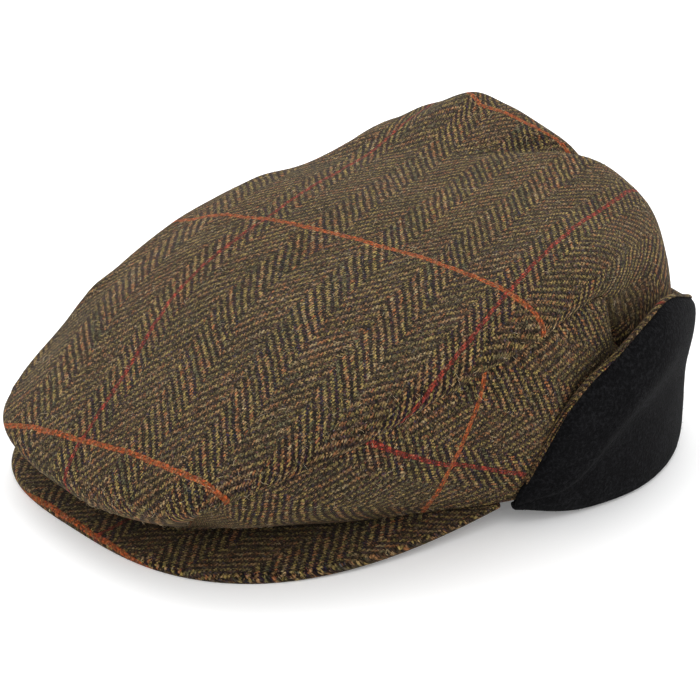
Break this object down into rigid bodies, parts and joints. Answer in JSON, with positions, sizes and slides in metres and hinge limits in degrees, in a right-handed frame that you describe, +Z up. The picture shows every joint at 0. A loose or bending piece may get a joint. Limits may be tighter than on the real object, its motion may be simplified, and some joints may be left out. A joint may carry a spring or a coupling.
{
  "type": "earflap cap",
  "caption": "Flat cap in herringbone tweed with a sewn-down crown over a short peak and a fleece-faced earflap band turned up round the sides and back.",
  "frame": {"origin": "on the floor under the middle of the whole cap", "axes": "+Z up, -Y to the front of the cap, +X to the wearer's left"},
  "size_m": [0.204, 0.2404, 0.0925],
  "materials": {
    "tweed_top": "herringbone wool tweed, olive and brown with orange and red overcheck",
    "tweed_side": "herringbone wool tweed with the weave running along the rim",
    "tweed_peak": "herringbone wool tweed over a stiff peak",
    "fleece": "black napped fleece",
    "tweed_edge": "herringbone wool tweed rolled over the edge of the earflap"
  },
  "bodies": {
    "root": {"crown_top": "tweed_top", "side_left": "tweed_side", "side_right": "tweed_side", "peak": "tweed_peak", "flap_fleece": "fleece", "flap_tweed": "tweed_edge"}
  },
  "joints": []
}
